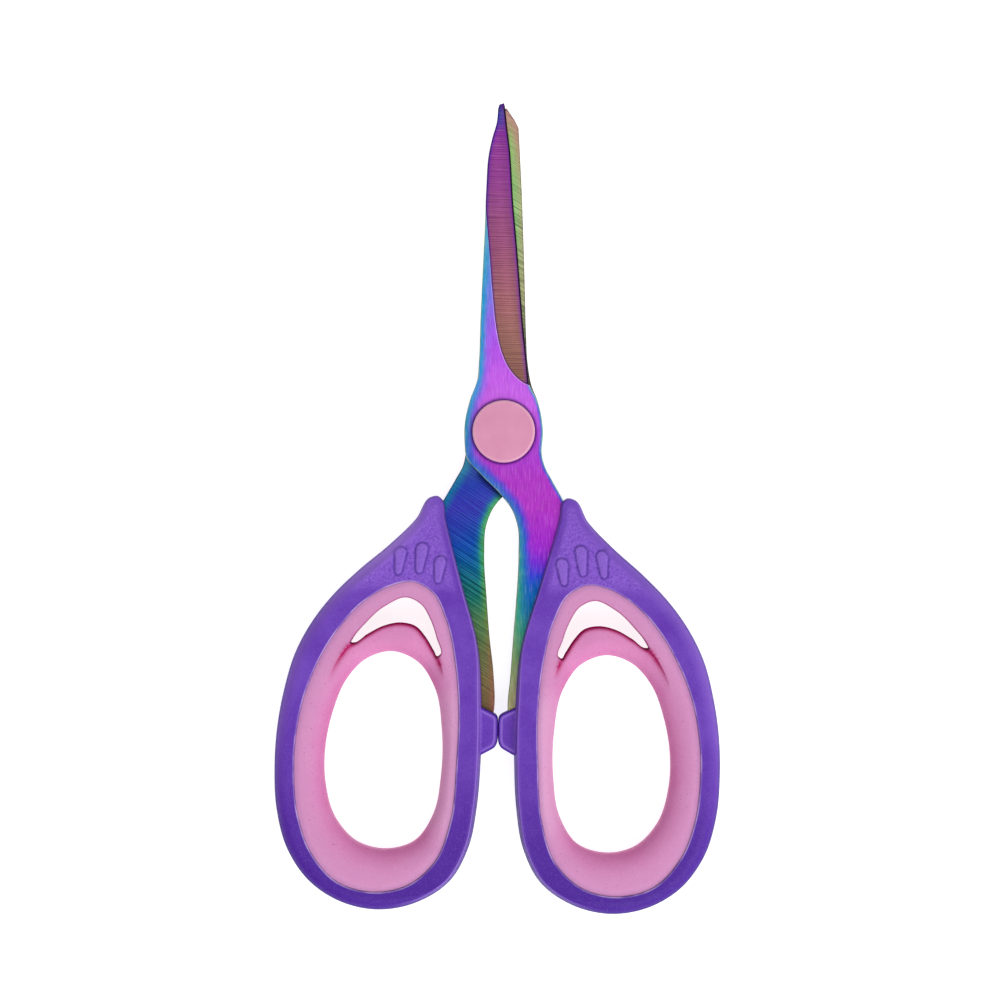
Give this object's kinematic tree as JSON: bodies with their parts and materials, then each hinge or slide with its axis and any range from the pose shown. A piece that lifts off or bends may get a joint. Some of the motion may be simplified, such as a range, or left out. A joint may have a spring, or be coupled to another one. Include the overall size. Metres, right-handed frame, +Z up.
{
  "type": "soft-grip scissors",
  "caption": "Scissors with plain coated blades on a riveted pivot and two moulded bows with soft finger rings.",
  "frame": {"origin": "middle of the footprint, on the surface that the handles lie on", "axes": "+Y from the bows towards the blade tips, +X to the right seen from the front, +Z up out of the front face"},
  "size_m": [0.091, 0.1652, 0.0104],
  "materials": {
    "coated_steel": "ground steel with a rainbow titanium-type coating",
    "purple_plastic": "finely textured satin",
    "pink_soft_grip": "soft satin",
    "pink_cap": "satin",
    "plain_steel": "plain, turned"
  },
  "bodies": {
    "front_half": {"front_blade": "coated_steel", "right_handle_frame": "purple_plastic", "right_grip_insert": "pink_soft_grip", "pivot_rivet": "plain_steel", "front_washer": "plain_steel", "tension_washer": "plain_steel", "front_pivot_cap": "pink_cap", "rear_pivot_cap": "pink_cap"},
    "rear_half": {"rear_blade": "coated_steel", "left_handle_frame": "purple_plastic", "left_grip_insert": "pink_soft_grip"}
  },
  "joints": [
    {"name": "blade_pivot", "type": "hinge", "parent": "front_half", "child": "rear_half", "pos_m": [0, 0.01545, 0.0052], "axis": [0, 0, -1], "range_deg": [0, 115]}
  ]
}
